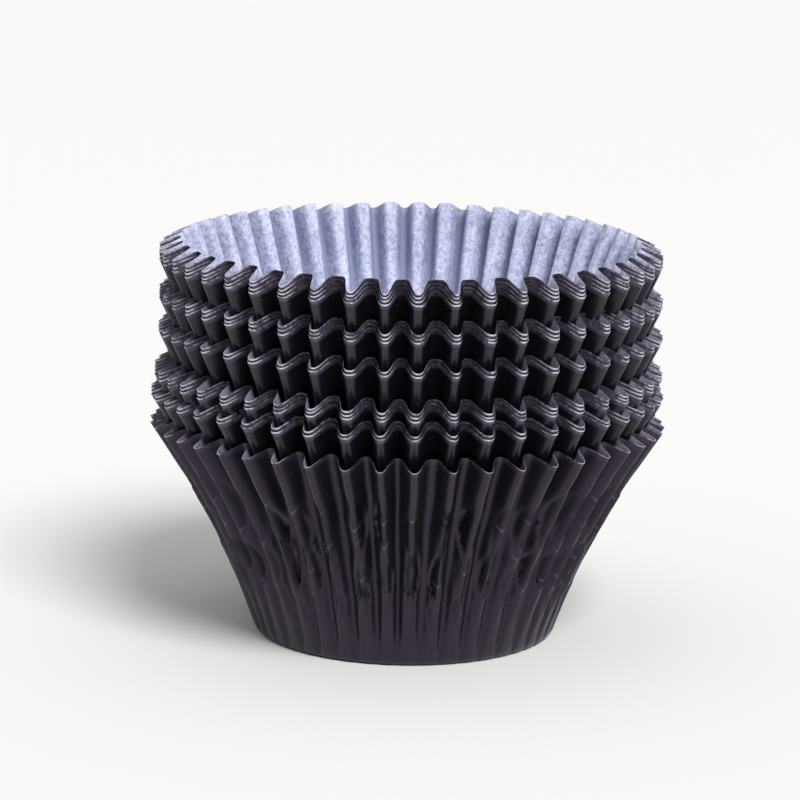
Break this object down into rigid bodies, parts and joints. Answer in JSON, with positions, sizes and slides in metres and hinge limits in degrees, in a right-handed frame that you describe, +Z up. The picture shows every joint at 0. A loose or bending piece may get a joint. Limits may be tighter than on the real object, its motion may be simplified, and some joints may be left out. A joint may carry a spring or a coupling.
{
  "type": "stack of cupcake liners",
  "caption": "Free-standing stack of round fluted black paper cupcake liners with pale insides, nested in tight groups above a loose liner, open at the top.",
  "frame": {"origin": "middle of the bottom liner's floor, on the table", "axes": "+Z up through the middle of the floor, out of the open tops; -Y towards the viewer of the picture; +X to the viewer's right"},
  "size_m": [0.0828, 0.083, 0.0656],
  "materials": {
    "black_baking_paper": "satin"
  },
  "bodies": {
    "root": {"liner_bottom": "black_baking_paper", "nest_1_liner_1": "black_baking_paper", "nest_1_liner_2": "black_baking_paper", "nest_2_liner_1": "black_baking_paper", "nest_2_liner_2": "black_baking_paper", "nest_2_liner_3": "black_baking_paper", "nest_3_liner_1": "black_baking_paper", "nest_3_liner_2": "black_baking_paper", "nest_4_liner_1": "black_baking_paper", "nest_4_liner_2": "black_baking_paper", "nest_4_liner_3": "black_baking_paper", "nest_5_liner_1": "black_baking_paper", "nest_5_liner_2": "black_baking_paper", "nest_5_liner_3": "black_baking_paper", "nest_5_liner_4": "black_baking_paper"}
  },
  "joints": []
}
